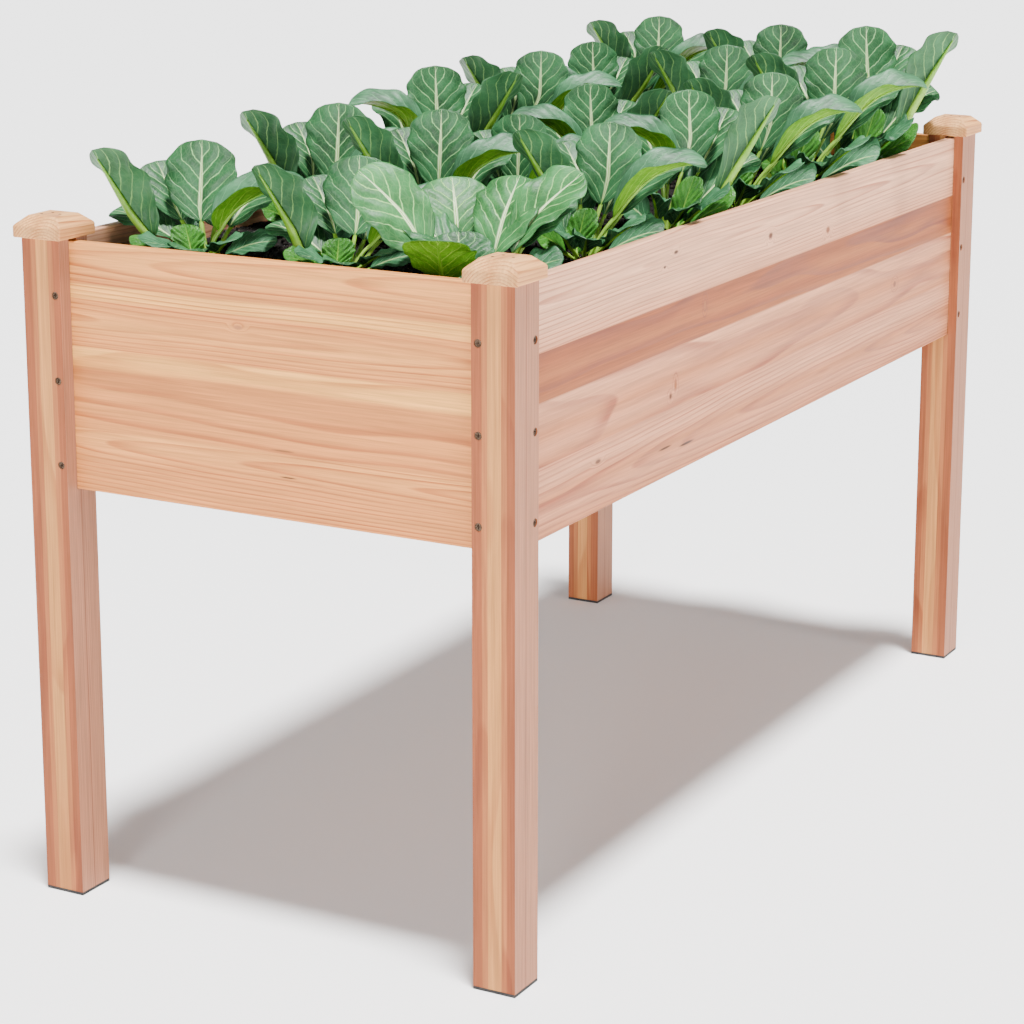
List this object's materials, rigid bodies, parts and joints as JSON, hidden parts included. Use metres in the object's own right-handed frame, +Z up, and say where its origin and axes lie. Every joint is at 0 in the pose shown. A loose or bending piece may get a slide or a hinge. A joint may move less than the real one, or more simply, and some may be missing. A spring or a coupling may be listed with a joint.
{
  "type": "raised planter on legs",
  "caption": "Rectangular wooden planter box held waist-high on square corner posts with bevelled caps, filled with potting mix and planted with leafy greens.",
  "frame": {"origin": "on the ground under the middle of the planter", "axes": "+X along the length, -Y out of the front long side, +Z up"},
  "size_m": [1.283, 0.593, 0.8673],
  "materials": {
    "post_wood": "bare planed laminated fir, reddish and pale strips",
    "cap_wood": "bare planed fir with end grain on two sides",
    "wall_wood": "bare sanded edge-glued fir staves",
    "floor_wood": "bare sawn fir",
    "foot_rubber": "matt black",
    "screw_steel": "dark bronze-coated, countersunk",
    "liner_cloth": "black non-woven landscape cloth",
    "potting_mix": "loose dark moist potting mix of peat and bark",
    "leaf": "waxy blue-green leaf with pale veins"
  },
  "bodies": {
    "root": {"cap_back_left": "cap_wood", "cap_back_right": "cap_wood", "cap_front_left": "cap_wood", "cap_front_right": "cap_wood", "cleat_back": "floor_wood", "cleat_front": "floor_wood", "end_wall_left": "wall_wood", "end_wall_right": "wall_wood", "floor_slat_1": "floor_wood", "floor_slat_2": "floor_wood", "floor_slat_3": "floor_wood", "floor_slat_4": "floor_wood", "floor_slat_5": "floor_wood", "floor_slat_6": "floor_wood", "floor_slat_7": "floor_wood", "foot_pad_back_left": "foot_rubber", "foot_pad_back_right": "foot_rubber", "foot_pad_front_left": "foot_rubber", "foot_pad_front_right": "foot_rubber", "greens_row_1": "leaf", "greens_row_2": "leaf", "greens_row_3": "leaf", "greens_row_4": "leaf", "greens_row_5": "leaf", "greens_row_6": "leaf", "liner": "liner_cloth", "middle_beam": "floor_wood", "post_back_left": "post_wood", "post_back_right": "post_wood", "post_front_left": "post_wood", "post_front_right": "post_wood", "potting_mix": "potting_mix", "screw_back_left_end_1": "screw_steel", "screw_back_left_end_2": "screw_steel", "screw_back_left_end_3": "screw_steel", "screw_back_left_side_1": "screw_steel", "screw_back_left_side_2": "screw_steel", "screw_back_left_side_3": "screw_steel", "screw_back_right_end_1": "screw_steel", "screw_back_right_end_2": "screw_steel", "screw_back_right_end_3": "screw_steel", "screw_back_right_side_1": "screw_steel", "screw_back_right_side_2": "screw_steel", "screw_back_right_side_3": "screw_steel", "screw_front_left_end_1": "screw_steel", "screw_front_left_end_2": "screw_steel", "screw_front_left_end_3": "screw_steel", "screw_front_left_side_1": "screw_steel", "screw_front_left_side_2": "screw_steel", "screw_front_left_side_3": "screw_steel", "screw_front_right_end_1": "screw_steel", "screw_front_right_end_2": "screw_steel", "screw_front_right_end_3": "screw_steel", "screw_front_right_side_1": "screw_steel", "screw_front_right_side_2": "screw_steel", "screw_front_right_side_3": "screw_steel", "side_wall_back": "wall_wood", "side_wall_front": "wall_wood"}
  },
  "joints": []
}
